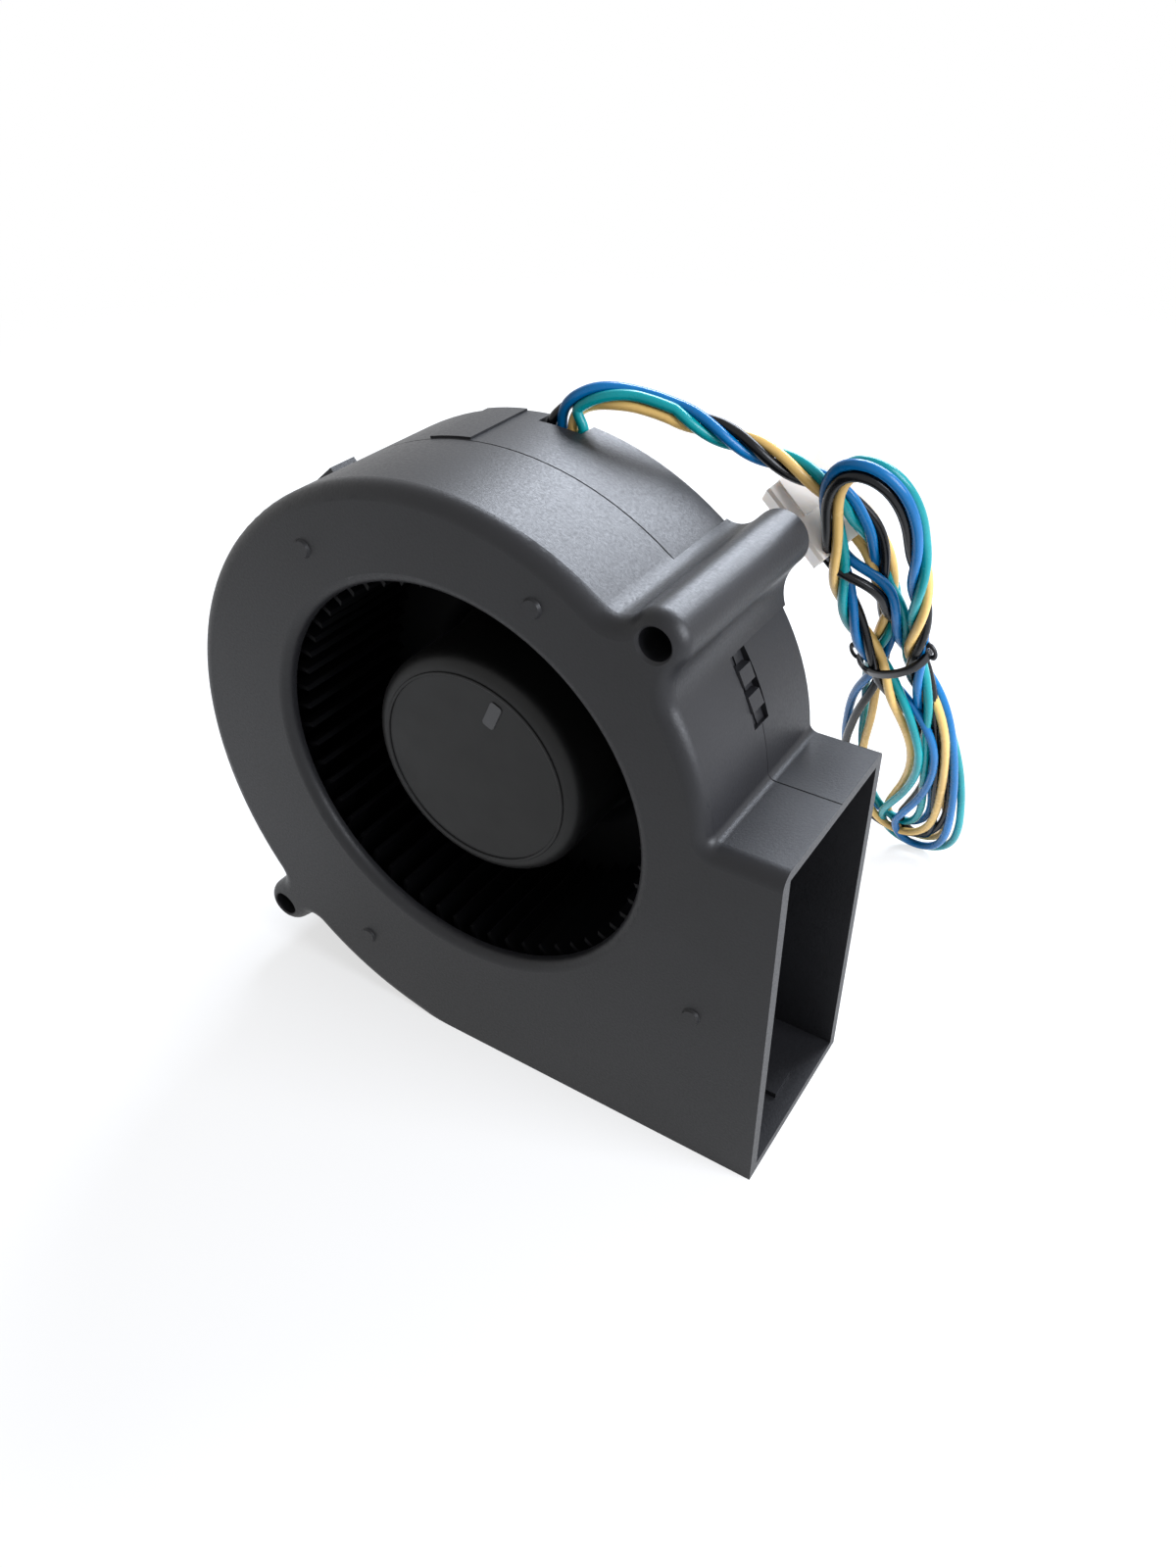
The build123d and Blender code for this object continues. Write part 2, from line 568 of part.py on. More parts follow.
with BuildPart() as impeller:
    with BuildSketch(Plane.XY) as turned:
        with BuildLine():
            Polyline(
                (0, HUB_FRONT),
                (HUB_RADIUS, HUB_FRONT),
                (HUB_RADIUS, disc_front),
                (BLADE_OUTER_RADIUS, disc_front),
                (BLADE_OUTER_RADIUS, disc_back),
                (hub_bore, disc_back),
                (hub_bore, yoke_front),
                (0, yoke_front),
                close=True,
            )
        make_face()
        fillet(turned.vertices().sort_by_distance((HUB_RADIUS, HUB_FRONT, 0))[0], HUB_EDGE_ROUNDING)
        fillet(turned.vertices().sort_by_distance((HUB_RADIUS, disc_front, 0))[0], HUB_FLARE)
    revolve(axis=Axis.Y)
    with BuildSketch(at_depth(HUB_FRONT)):
        Circle(HUB_RADIUS - HUB_EDGE_ROUNDING)
        Circle(HUB_RADIUS - HUB_EDGE_ROUNDING - HUB_RING_WIDTH, mode=Mode.SUBTRACT)
    extrude(amount=HUB_RING_HEIGHT)
    fillet(impeller.faces().sort_by(Axis.Y)[0].edges(), HUB_RING_HEIGHT * 0.7)
    with BuildSketch(at_depth(HUB_FRONT)):
        with Locations(Location((*BALANCE_SPOT, 0), (0, 0, BALANCE_SPOT_TURN))):
            RectangleRounded(*BALANCE_SPOT_SIZE, BALANCE_SPOT_SIZE[1] / 4)
    extrude(amount=BALANCE_SPOT_HEIGHT)
    with BuildSketch(at_depth(blade_front)):
        with PolarLocations(0, BLADE_COUNT):
            add(blade.sketch)
    extrude(amount=blade_front - disc_back + DISC_THICKNESS / 2)
    with BuildSketch(at_depth(blade_front)):
        Circle(BLADE_OUTER_RADIUS)
        Circle(BLADE_OUTER_RADIUS - SHROUD_WIDTH, mode=Mode.SUBTRACT)
    extrude(amount=-SHROUD_DEPTH)
impeller.part.label = "impeller"

# Rotor
with BuildPart() as rotor_yoke:
    add(ring(yoke_radius, BUSH_RADIUS + FIT_GAP, yoke_front, yoke_end))
    with BuildSketch(at_depth(yoke_front + YOKE_THICKNESS)):
        Circle(yoke_radius - YOKE_THICKNESS)
    extrude(amount=yoke_front + YOKE_THICKNESS - yoke_end, mode=Mode.SUBTRACT)
rotor_yoke.part.label = "rotor_yoke"

with BuildPart() as rotor_magnet:
    add(ring(magnet_radius, magnet_radius - MAGNET_THICKNESS, magnet_front, magnet_end))
rotor_magnet.part.label = "rotor_magnet"

with BuildPart() as rotor_bush:
    add(ring(BUSH_RADIUS, SHAFT_RADIUS + FIT_GAP, yoke_front, bush_end))
    chamfer(rotor_bush.faces().sort_by(Axis.Y)[-1].outer_wire().edges(), BUSH_RADIUS / 10)
rotor_bush.part.label = "rotor_bush"

with BuildPart() as shaft:
    with BuildSketch(at_depth(shaft_front)):
        Circle(SHAFT_RADIUS)
    extrude(amount=shaft_front - shaft_end)
    chamfer(shaft.edges().filter_by(GeomType.CIRCLE), SHAFT_RADIUS / 5)
    with BuildSketch(at_depth(clip_depth - FIT_GAP)):
        Circle(2 * SHAFT_RADIUS)
        Circle(CLIP_GROOVE_RADIUS, mode=Mode.SUBTRACT)
    extrude(amount=-CLIP_THICKNESS - 2 * FIT_GAP, mode=Mode.SUBTRACT)
shaft.part.label = "shaft"

with BuildPart() as shaft_clip:
    with BuildSketch(at_depth(clip_depth)):
        Circle(CLIP_RADIUS)
        Circle(CLIP_GROOVE_RADIUS + FIT_GAP, mode=Mode.SUBTRACT)
        Rectangle(
            CLIP_MOUTH, 2 * CLIP_RADIUS, align=(Align.CENTER, Align.MIN), mode=Mode.SUBTRACT
        )
    extrude(amount=-CLIP_THICKNESS)
shaft_clip.part.label = "shaft_clip"

# Bearing, standing on the inside of the back plate
with BuildPart() as bearing_tube:
    add(ring(tube_radius, TUBE_INNER_RADIUS, tube_front, back_inside))
    chamfer(bearing_tube.faces().sort_by(Axis.Y)[0].edges(), TUBE_WALL / 5)
bearing_tube.part.label = "bearing_tube"

with BuildPart() as bearing_sleeve:
    add(
        ring(TUBE_INNER_RADIUS - FIT_GAP, SHAFT_RADIUS + RUNNING_GAP, sleeve_front, sleeve_end)
    )
    outer_edges = bearing_sleeve.edges().filter_by(GeomType.CIRCLE).filter_by(
        lambda e: abs(e.radius - TUBE_INNER_RADIUS + FIT_GAP) < 0.001
    )
    chamfer(outer_edges, TUBE_WALL / 4)
bearing_sleeve.part.label = "bearing_sleeve"

with BuildPart() as oil_ring:
    add(
        ring(
            TUBE_INNER_RADIUS - FIT_GAP,
            SHAFT_RADIUS + OIL_RING_GAP,
            sleeve_front - OIL_RING_THICKNESS,
            sleeve_front,
        )
    )
oil_ring.part.label = "oil_ring"

with BuildPart() as thrust_pad:
    with BuildSketch(at_depth(shaft_end + THRUST_GAP)):
        Circle(TUBE_INNER_RADIUS - FIT_GAP)
    extrude(amount=shaft_end + THRUST_GAP - back_inside)
thrust_pad.part.label = "thrust_pad"

# Stator
coil_inner_radius = STATOR_HUB_RADIUS + INSULATOR_THICKNESS
coil_width = TOOTH_WIDTH + 2 * (COIL_GAP + COIL_BUILD)
coil_outer_radius = sqrt(
    (STATOR_RADIUS - SHOE_THICKNESS - COIL_GAP) ** 2 - (coil_width / 2) ** 2
)


def pole_plane(angle, radius):
    """A plane facing outward at a radius and an angle about the axis, its Y into the depth."""
    place = polar((0, 0), radius, angle)
    return Plane(
        origin=(place[0], (stator_front + stator_end) / 2, place[1]),
        x_dir=(-sin(radians(angle)), 0, cos(radians(angle))),
        z_dir=(cos(radians(angle)), 0, sin(radians(angle))),
    )


def tooth_spider(hub_radius, tooth_width, tooth_end):
    """The stator's hub with one tooth for each pole, bored for the bearing tube."""
    with BuildSketch() as spider:
        Circle(hub_radius)
        with PolarLocations(0, POLE_COUNT):
            Rectangle(tooth_end, tooth_width, align=(Align.MIN, Align.CENTER))
        Circle(tube_radius + FIT_GAP, mode=Mode.SUBTRACT)
    return spider.sketch


with BuildPart() as stator_core:
    with BuildSketch(at_depth(stator_front)):
        Circle(STATOR_RADIUS)
        Circle(STATOR_RADIUS - SHOE_THICKNESS, mode=Mode.SUBTRACT)
        with PolarLocations(0, POLE_COUNT, start_angle=180 / POLE_COUNT):
            Rectangle(
                STATOR_RADIUS + WALL,
                SHOE_GAP,
                align=(Align.MIN, Align.CENTER),
                mode=Mode.SUBTRACT,
            )
        add(tooth_spider(STATOR_HUB_RADIUS, TOOTH_WIDTH, STATOR_RADIUS - SHOE_THICKNESS / 2))
    extrude(amount=stator_front - stator_end)
stator_core.part.label = "stator_core"

with BuildPart() as front_insulator:
    with BuildSketch(at_depth(stator_front - INSULATOR_THICKNESS)):
        add(tooth_spider(STATOR_HUB_RADIUS, TOOTH_WIDTH, coil_outer_radius))
    extrude(amount=-INSULATOR_THICKNESS)
front_insulator.part.label = "front_insulator"

with BuildPart() as rear_insulator:
    with BuildSketch(at_depth(stator_end)):
        add(tooth_spider(STATOR_HUB_RADIUS, TOOTH_WIDTH, coil_outer_radius))
    extrude(amount=-INSULATOR_THICKNESS)
    post_radius = (STATOR_HUB_RADIUS - tube_radius) / 3
    with BuildSketch(at_depth(stator_end)):
        with PolarLocations(
            (STATOR_HUB_RADIUS + tube_radius + BOARD_HOLE_GAP) / 2,
            POLE_COUNT,
            start_angle=180 / POLE_COUNT,
        ):
            Circle(post_radius)
    extrude(amount=stator_end - board_front)
rear_insulator.part.label = "rear_insulator"

with BuildPart() as stator_coils:
    opening = (
        TOOTH_WIDTH + 2 * COIL_GAP,
        stator_end - stator_front + 2 * INSULATOR_THICKNESS + 2 * COIL_GAP,
    )
    for pole in range(POLE_COUNT):
        with BuildSketch(pole_plane(360 / POLE_COUNT * pole, coil_inner_radius)):
            RectangleRounded(
                coil_width, opening[1] + 2 * COIL_HEAD, COIL_HEAD * 0.9
            )
            Rectangle(*opening, mode=Mode.SUBTRACT)
        extrude(amount=coil_outer_radius - coil_inner_radius)
stator_coils.part.label = "stator_coils"

# Circuit board on its seat ring, and what is soldered to it
with BuildPart() as circuit_board:
    add(ring(BOARD_RADIUS, tube_radius + BOARD_HOLE_GAP, board_front, board_back))
circuit_board.part.label = "circuit_board"

with BuildPart() as hall_sensor:
    hall_front = magnet_end + HALL_GAP
    with BuildSketch(at_depth(hall_front)):
        with Locations(Location((*polar((0, 0), HALL_RADIUS, HALL_ANGLE), 0), (0, 0, HALL_ANGLE))):
            Rectangle(*HALL_SIZE)
    extrude(amount=hall_front - board_front)
hall_sensor.part.label = "hall_sensor"

with BuildPart() as driver_chip:
    with BuildSketch(at_depth(board_back)):
        with Locations(CHIP_PLACE):
            Rectangle(CHIP_SIZE[0], CHIP_SIZE[1])
    extrude(amount=-CHIP_SIZE[2])
driver_chip.part.label = "driver_chip"

with BuildPart() as board_parts:
    with BuildSketch(at_depth(board_back)):
        with Locations(*SMALL_PARTS):
            Rectangle(SMALL_PART_SIZE[0], SMALL_PART_SIZE[1])
    extrude(amount=-SMALL_PART_SIZE[2])
board_parts.part.label = "board_parts"

with BuildPart() as solder_joints:
    with BuildSketch(at_depth(board_back)):
        with Locations(*[(x, WIRE_START_Z) for x in wire_places]):
            Circle(WIRE_PITCH / 2 - CHANNEL_CLEARANCE)
    extrude(amount=-SOLDER_HEIGHT, taper=8)
solder_joints.part.label = "solder_joints"

# Four wires from the board into the channel and up to the notch
with BuildPart() as inner_leads:
    for x in wire_places:
        with BuildLine():
            wire_path = FilletPolyline(
                (x, board_back + SOLDER_HEIGHT, WIRE_START_Z),
                (x, wire_depth, WIRE_START_Z),
                (x, wire_depth, LEAD_ROUTE[0][2]),
                radius=WIRE_BEND,
            )
        with BuildSketch(Plane(origin=wire_path @ 0, z_dir=wire_path % 0)):
            Circle(WIRE_DIAMETER / 2)
        sweep(path=wire_path)
inner_leads.part.label = "inner_leads"

# Free lead from the notch to the hank, straight runs joined by tangent arcs
route = [Vector(*point) for point in LEAD_ROUTE]
runs = [b - a for a, b in zip(route, route[1:])]
bends = []
for run, next_run in zip(runs, runs[1:]):
    half_turn = radians(run.get_angle(next_run)) / 2
    bends.append(0.45 * min(run.length, next_run.length) / tan(half_turn))
print("lead bend radii", [round(bend, 1) for bend in bends])
with BuildPart() as lead:
    with BuildLine():
        lead_path = FilletPolyline(*LEAD_ROUTE, radius=bends)
    with BuildSketch(Plane(origin=lead_path @ 0, z_dir=lead_path % 0)):
        Circle(LEAD_DIAMETER / 2)
    sweep(path=lead_path)
lead.part.label = "lead"
lead_volume = pi * (LEAD_DIAMETER / 2) ** 2 * lead_path.length
print("lead volume", round(lead.part.volume, 2), "section times length", round(lead_volume, 2))

# Hank, leaning behind the blower with its loops on the floor
hank_plane = Plane(
    origin=HANK_TOP,
    x_dir=(1, 0, 0),
    z_dir=(0, cos(radians(HANK_LEAN)), sin(radians(HANK_LEAN))),
)


def hank_section(distance, sideways):
    """The plane across the hank, that far down it, its X sideways."""
    centre = hank_plane.from_local_coords(Vector(sideways, distance, 0))
    return Plane(origin=centre, x_dir=(1, 0, 0), z_dir=hank_plane.y_dir)


connector_plane = Plane(
    origin=CONNECTOR_CENTRE, x_dir=CONNECTOR_ACROSS, z_dir=CONNECTOR_FACING
)
with BuildPart() as lead_hank:
    for distance, sideways, width, thickness in HANK_STATIONS:
        with BuildSketch(hank_section(distance, sideways)):
            Ellipse(width / 2, thickness / 2)
    loft()
    # the connector's wire end lies among the wires, its back covered by them
    with BuildSketch(connector_plane.offset(-CONNECTOR_SIZE[2] / 2 - CONNECTOR_SEAT_GAP)):
        Rectangle(
            CONNECTOR_SIZE[0] + 2 * CONNECTOR_SEAT_GAP, CONNECTOR_SIZE[1] + 2 * CONNECTOR_SEAT_GAP
        )
    extrude(amount=CONNECTOR_SIZE[2] + 2 * CONNECTOR_SEAT_GAP, mode=Mode.SUBTRACT)
lead_hank.part.label = "lead_hank"

with BuildPart() as twist_tie:
    distance, sideways, width, thickness = HANK_WAIST
    tie_size = (width / 2 + TIE_CLEARANCE, thickness / 2 + TIE_CLEARANCE)
    with BuildSketch(hank_section(distance - TIE_WIDTH / 2, sideways)):
        Ellipse(tie_size[0] + TIE_THICKNESS, tie_size[1] + TIE_THICKNESS)
        Ellipse(*tie_size, mode=Mode.SUBTRACT)
    extrude(amount=TIE_WIDTH)
    for side in (-1, 1):
        tail_start = hank_plane.from_local_coords(
            Vector(sideways + side * (tie_size[0] + TIE_THICKNESS / 2), distance, 0)
        )
        with BuildSketch(Plane(origin=tail_start, z_dir=(side, 0, TIE_TAIL_RISE))):
            Circle(TIE_WIDTH / 4)
        extrude(amount=TIE_TAIL)
twist_tie.part.label = "twist_tie"

# Connector behind the upper boss, its mouth up and to the left
cavity_places = [(CONNECTOR_PITCH * (i - (WIRE_COUNT - 1) / 2), 0) for i in range(WIRE_COUNT)]
connector_end = Plane(
    origin=connector_plane.from_local_coords(Vector(0, -CONNECTOR_SIZE[1] / 2, 0)),
    x_dir=connector_plane.x_dir,
    z_dir=connector_plane.y_dir,
)
with BuildPart() as connector_housing:
    with BuildSketch(connector_end):
        Rectangle(CONNECTOR_SIZE[0], CONNECTOR_SIZE[2])
    extrude(amount=CONNECTOR_SIZE[1])
    lengthwise = Axis(CONNECTOR_CENTRE, connector_plane.y_dir)
    chamfer(connector_housing.edges().filter_by(lengthwise), CONTACT_RAIL[2] / 2)
    with BuildSketch(connector_end):
        with Locations(*cavity_places):
            Rectangle(*CONTACT_CAVITY)
    extrude(amount=CONNECTOR_SIZE[1], mode=Mode.SUBTRACT)
    with BuildSketch(connector_plane.offset(CONNECTOR_SIZE[2] / 2)):
        with Locations((0, (CONNECTOR_SIZE[1] - CONTACT_RAIL[1]) / 2)):
            Rectangle(CONTACT_RAIL[0], CONTACT_RAIL[1])
    extrude(amount=CONTACT_RAIL[2])
connector_housing.part.label = "connector_housing"

with BuildPart() as connector_contacts:
    with BuildSketch(
        Plane(
            origin=connector_plane.from_local_coords(
                Vector(0, -CONTACT_SIZE[1] / 2 - CONTACT_REACH, 0)
            ),
            x_dir=connector_plane.x_dir,
            z_dir=connector_plane.y_dir,
        )
    ):
        with Locations(*cavity_places):
            Rectangle(CONTACT_SIZE[0], CONTACT_SIZE[2])
    extrude(amount=CONTACT_SIZE[1])
connector_contacts.part.label = "connector_contacts"

with BuildPart() as connector_leads:
    with BuildSketch(connector_end):
        with Locations(*cavity_places):
            Circle(WIRE_DIAMETER / 2)
    extrude(amount=(CONNECTOR_SIZE[1] - CONTACT_SIZE[1]) / 2 - CONTACT_REACH)
    with BuildSketch(connector_end):
        with Locations(*cavity_places):
            Circle(WIRE_DIAMETER / 2)
    extrude(amount=-CONNECTOR_WIRE)
connector_leads.part.label = "connector_leads"

pieces = (
    front_cover,
    rear_housing,
    impeller,
    rotor_yoke,
    rotor_magnet,
    rotor_bush,
    shaft,
    shaft_clip,
    bearing_tube,
    bearing_sleeve,
    oil_ring,
    thrust_pad,
    stator_core,
    front_insulator,
    rear_insulator,
    stator_coils,
    circuit_board,
    hall_sensor,
    driver_chip,
    board_parts,
    solder_joints,
    inner_leads,
    lead,
    lead_hank,
    twist_tie,
    connector_housing,
    connector_contacts,
    connector_leads,
)
os.makedirs("parts", exist_ok=True)
for piece in pieces:
    export_step(piece.part, f"parts/{piece.part.label}.step")
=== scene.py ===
"""Looks of a centrifugal blower: its housing, impeller, motor and tied four-wire lead."""

import logging
import math
from dataclasses import dataclass, field
from enum import Enum

import bmesh
import bpy
from mathutils import Matrix, Vector


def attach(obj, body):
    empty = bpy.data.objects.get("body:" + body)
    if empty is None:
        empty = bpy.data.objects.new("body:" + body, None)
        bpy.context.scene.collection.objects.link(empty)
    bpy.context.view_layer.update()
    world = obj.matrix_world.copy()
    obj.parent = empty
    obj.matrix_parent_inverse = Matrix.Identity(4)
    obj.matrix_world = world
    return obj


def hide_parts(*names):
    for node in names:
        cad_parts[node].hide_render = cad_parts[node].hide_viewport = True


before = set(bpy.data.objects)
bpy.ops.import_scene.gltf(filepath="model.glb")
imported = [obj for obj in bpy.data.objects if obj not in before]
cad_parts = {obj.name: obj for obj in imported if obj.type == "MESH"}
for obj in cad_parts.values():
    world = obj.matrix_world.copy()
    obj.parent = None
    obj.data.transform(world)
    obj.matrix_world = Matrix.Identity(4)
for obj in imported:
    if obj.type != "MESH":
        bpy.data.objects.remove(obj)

LOG = logging.getLogger("blower")
MM = 0.001
NOISE_MIDDLE = (0.3, 0.7)


def metres(point: tuple[float, float, float]) -> Vector:
    """A point given in millimetres, in metres."""
    return Vector(point) * MM


def smooth_step(low: float, high: float, value: float) -> float:
    """A value eased from 0 at low to 1 at high.

    Args:
        low: where the step starts.
        high: where it ends.
        value: the value to ease.

    Returns:
        The eased share, from 0 to 1.
    """
    share = min(1.0, max(0.0, (value - low) / (high - low)))
    return share * share * (3.0 - 2.0 * share)


@dataclass(frozen=True)
class Texture:
    """The relief of a surface, and how its roughness varies over patches."""

    bump: float
    spread: tuple[float, float]
    patches: float | None = None


class Grain(Enum):
    """How the surface of a moulding is textured: spark-eroded, satin or polished."""

    SPARK = Texture(0.55, (-0.06, 0.08))
    SATIN = Texture(0.2, (-0.04, 0.05), 200.0)
    POLISHED = Texture(0.0, (-0.05, 0.05), 150.0)


class Nodes:
    """A material's node tree, with the few calls that every finish makes."""

    def __init__(self, name: str) -> None:
        """Starts an empty material of that name."""
        self.material = bpy.data.materials.new(name)
        self.material.use_nodes = True
        self.tree = self.material.node_tree
        self.tree.nodes.clear()
        self.output = self.tree.nodes.new("ShaderNodeOutputMaterial")
        self.shader = self.tree.nodes.new("ShaderNodeBsdfPrincipled")
        self.link(self.shader.outputs["BSDF"], self.output.inputs["Surface"])
        self.place = self.tree.nodes.new("ShaderNodeTexCoord").outputs["Object"]

    def link(self, source: bpy.types.NodeSocket, target: bpy.types.NodeSocket) -> None:
        """Joins two sockets."""
        self.tree.links.new(source, target)

    def noise(self, scale: float, detail: float = 2.0, rough: float = 0.5) -> bpy.types.NodeSocket:
        """A noise over the piece.

        Args:
            scale: noise cells in a metre.
            detail: finer layers.
            rough: weight of the finer layers.

        Returns:
            The noise's value socket.
        """
        node = self.tree.nodes.new("ShaderNodeTexNoise")
        node.inputs["Scale"].default_value = scale
        node.inputs["Detail"].default_value = detail
        node.inputs["Roughness"].default_value = rough
        self.link(self.place, node.inputs["Vector"])
        return node.outputs["Fac"]

    def stretched_noise(self, scales: tuple[float, float, float]) -> bpy.types.NodeSocket:
        """A noise that runs in one direction, as machining marks do."""
        mapping = self.tree.nodes.new("ShaderNodeMapping")
        mapping.inputs["Scale"].default_value = scales
        self.link(self.place, mapping.inputs["Vector"])
        node = self.tree.nodes.new("ShaderNodeTexNoise")
        node.inputs["Scale"].default_value = 1.0
        node.inputs["Detail"].default_value = 3.0
        self.link(mapping.outputs["Vector"], node.inputs["Vector"])
        return node.outputs["Fac"]

    def tint(
        self, factor: bpy.types.NodeSocket, colour: tuple[float, float, float],
        darkest: float, lightest: float,
    ) -> None:
        """Gives the shader its colour, which varies a little with a noise.

        Args:
            factor: the noise.
            colour: the colour between its extremes.
            darkest: the share of the colour at the noise's low end.
            lightest: the share at its high end.
        """
        node = self.tree.nodes.new("ShaderNodeValToRGB")
        for element, place, share in zip(
            node.color_ramp.elements, NOISE_MIDDLE, (darkest, lightest)
        ):
            element.position = place
            element.color = (*(min(1.0, part * share) for part in colour), 1.0)
        self.link(factor, node.inputs["Fac"])
        self.link(node.outputs["Color"], self.shader.inputs["Base Color"])

    def vary_roughness(self, factor: bpy.types.NodeSocket, low: float, high: float) -> None:
        """Lets the roughness run from low to high over the noise's middle part."""
        node = self.tree.nodes.new("ShaderNodeMapRange")
        node.inputs["From Min"].default_value = NOISE_MIDDLE[0]
        node.inputs["From Max"].default_value = NOISE_MIDDLE[1]
        node.inputs["To Min"].default_value = low
        node.inputs["To Max"].default_value = high
        self.link(factor, node.inputs["Value"])
        self.link(node.outputs["Result"], self.shader.inputs["Roughness"])

    def set(self, socket: str, value: float | tuple[float, ...]) -> None:
        """Sets one of the shader's own sockets."""
        self.shader.inputs[socket].default_value = value

    def bump(self, height: bpy.types.NodeSocket, strength: float, distance: float) -> None:
        """Raises the surface by a height map, the distance in metres."""
        node = self.tree.nodes.new("ShaderNodeBump")
        node.inputs["Strength"].default_value = strength
        node.inputs["Distance"].default_value = distance
        self.link(height, node.inputs["Height"])
        self.link(node.outputs["Normal"], self.shader.inputs["Normal"])


@dataclass(frozen=True)
class Moulding:
    """A moulded plastic."""

    name: str
    colour: tuple[float, float, float]
    roughness: float = 0.5
    grain: Grain = Grain.SATIN
    mottling: float = 60.0
    cells: float = 2600.0
    depth: float = 0.00004
    milkiness: float = 0.0
    milk_radius: tuple[float, float, float] = (1.0, 0.8, 0.6)
    milk_scale: float = 0.0015
    shine: float = 0.5

    def make(self) -> bpy.types.Material:
        """Builds the material."""
        nodes = Nodes(self.name)
        nodes.tint(nodes.noise(self.mottling), self.colour, 0.88, 1.12)
        nodes.set("Specular IOR Level", self.shine)
        cells = nodes.noise(self.cells, 3.0, 0.6)
        texture = self.grain.value
        if texture.bump > 0.0:
            nodes.bump(cells, texture.bump, self.depth)
        patches = cells if texture.patches is None else nodes.noise(texture.patches)
        nodes.vary_roughness(patches, *(self.roughness + part for part in texture.spread))
        if self.milkiness > 0.0:
            nodes.set("Subsurface Weight", self.milkiness)
            nodes.set("Subsurface Radius", self.milk_radius)
            nodes.set("Subsurface Scale", self.milk_scale)
        return nodes.material


@dataclass(frozen=True)
class Metal:
    """A bare or plated metal with fine marks."""

    name: str
    colour: tuple[float, float, float]
    roughness: float = 0.3
    marks: tuple[float, float, float] = (300.0, 9000.0, 300.0)
    relief: float = 0.15
    depth: float = 0.00002

    def make(self) -> bpy.types.Material:
        """Builds the material."""
        nodes = Nodes(self.name)
        nodes.set("Metallic", 1.0)
        marks = nodes.stretched_noise(self.marks)
        nodes.tint(marks, self.colour, 0.85, 1.05)
        nodes.vary_roughness(marks, self.roughness - 0.06, self.roughness + 0.1)
        nodes.bump(marks, self.relief, self.depth)
        return nodes.material


@dataclass(frozen=True)
class Insulation:
    """The soft plastic sleeve of one wire."""

    name: str
    colour: tuple[float, float, float]
    roughness: tuple[float, float] = (0.22, 0.3)
    shine: float = 0.25
    mottling: float = 90.0
    patches: float = 500.0
    cells: float = 1400.0
    relief: float = 0.12
    depth: float = 0.00003

    def make(self) -> bpy.types.Material:
        """Builds the material."""
        nodes = Nodes(self.name)
        nodes.tint(nodes.noise(self.mottling), self.colour, 0.8, 1.1)
        nodes.vary_roughness(nodes.noise(self.patches), *self.roughness)
        nodes.bump(nodes.noise(self.cells), self.relief, self.depth)
        nodes.set("Specular IOR Level", self.shine)
        return nodes.material


class WireColour(Enum):
    """The four wires of the lead, by the colour of their sleeves."""

    BLACK = (0.003, 0.0035, 0.0045)
    BLUE = (0.0, 0.115, 0.31)
    YELLOW = (0.62, 0.4, 0.13)
    GREEN = (0.0, 0.22, 0.24)


